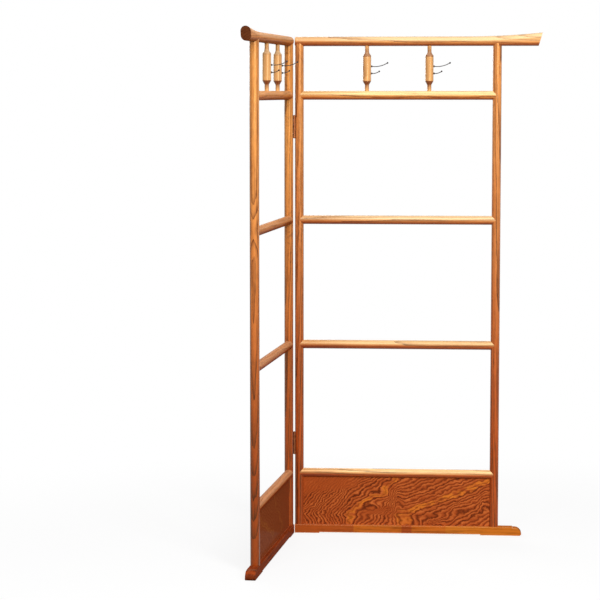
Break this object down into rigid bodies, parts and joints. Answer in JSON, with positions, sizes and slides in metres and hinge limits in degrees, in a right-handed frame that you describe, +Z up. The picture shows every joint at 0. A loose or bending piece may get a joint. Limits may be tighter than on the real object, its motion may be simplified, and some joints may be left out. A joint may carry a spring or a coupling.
{
  "type": "folding kimono stand",
  "caption": "Free-standing folding garment stand: hinged ladder-like wooden leaves with upswept top rails, swivelling hook spindles and low figured boards.",
  "frame": {"origin": "on the floor, under the middle of the standing part's bounds, with the leaves open at the picture's angle", "axes": "+Z up; the right leaf runs along +X from the fold axis; the left leaf runs towards -Y, and both face the corner between them"},
  "size_m": [0.9006, 0.8328, 1.65],
  "materials": {
    "lacquered_wood": "gloss",
    "turned_wood": "gloss",
    "foot_wood": "gloss",
    "figured_board": "gloss",
    "hook_metal": "dark polished",
    "hinge_bronze": "antique",
    "screw_metal": "antique"
  },
  "bodies": {
    "right_leaf": {"right_top_rail": "lacquered_wood", "right_hook_rail": "lacquered_wood", "right_upper_rail": "lacquered_wood", "right_middle_rail": "lacquered_wood", "right_board_rail": "lacquered_wood", "right_inner_post": "lacquered_wood", "right_outer_post": "lacquered_wood", "right_board": "figured_board", "right_foot": "foot_wood", "upper_hinge_right_plate": "hinge_bronze", "upper_hinge_pin": "hinge_bronze", "upper_hinge_right_screws": "screw_metal", "lower_hinge_right_plate": "hinge_bronze", "lower_hinge_pin": "hinge_bronze", "lower_hinge_right_screws": "screw_metal"},
    "left_leaf": {"left_top_rail": "lacquered_wood", "left_hook_rail": "lacquered_wood", "left_upper_rail": "lacquered_wood", "left_middle_rail": "lacquered_wood", "left_board_rail": "lacquered_wood", "left_inner_post": "lacquered_wood", "left_outer_post": "lacquered_wood", "left_board": "figured_board", "left_foot": "foot_wood", "upper_hinge_left_plate": "hinge_bronze", "upper_hinge_left_screws": "screw_metal", "lower_hinge_left_plate": "hinge_bronze", "lower_hinge_left_screws": "screw_metal"},
    "right_inner_swivel": {"right_inner_spindle": "turned_wood", "right_inner_upper_hook": "hook_metal", "right_inner_lower_hook": "hook_metal"},
    "right_outer_swivel": {"right_outer_spindle": "turned_wood", "right_outer_upper_hook": "hook_metal", "right_outer_lower_hook": "hook_metal"},
    "left_inner_swivel": {"left_inner_spindle": "turned_wood", "left_inner_upper_hook": "hook_metal", "left_inner_lower_hook": "hook_metal"},
    "left_outer_swivel": {"left_outer_spindle": "turned_wood", "left_outer_upper_hook": "hook_metal", "left_outer_lower_hook": "hook_metal"}
  },
  "joints": [
    {"name": "leaf_fold", "type": "hinge", "parent": "right_leaf", "child": "left_leaf", "pos_m": [-0.3547, 0.38489, 0], "axis": [0, 0, 1], "range_deg": [-85.4, 94.6]},
    {"name": "right_inner_turn", "type": "hinge", "parent": "right_leaf", "child": "right_inner_swivel", "pos_m": [-0.1185, 0.40089, 1.447], "axis": [0, 0, 1], "continuous": true},
    {"name": "right_outer_turn", "type": "hinge", "parent": "right_leaf", "child": "right_outer_swivel", "pos_m": [0.0845, 0.40089, 1.447], "axis": [0, 0, 1], "continuous": true},
    {"name": "left_inner_turn", "type": "hinge", "parent": "left_leaf", "child": "left_inner_swivel", "pos_m": [-0.3896, 0.15074, 1.447], "axis": [0, 0, 1], "continuous": true},
    {"name": "left_outer_turn", "type": "hinge", "parent": "left_leaf", "child": "left_outer_swivel", "pos_m": [-0.40588, -0.05161, 1.447], "axis": [0, 0, 1], "continuous": true}
  ]
}
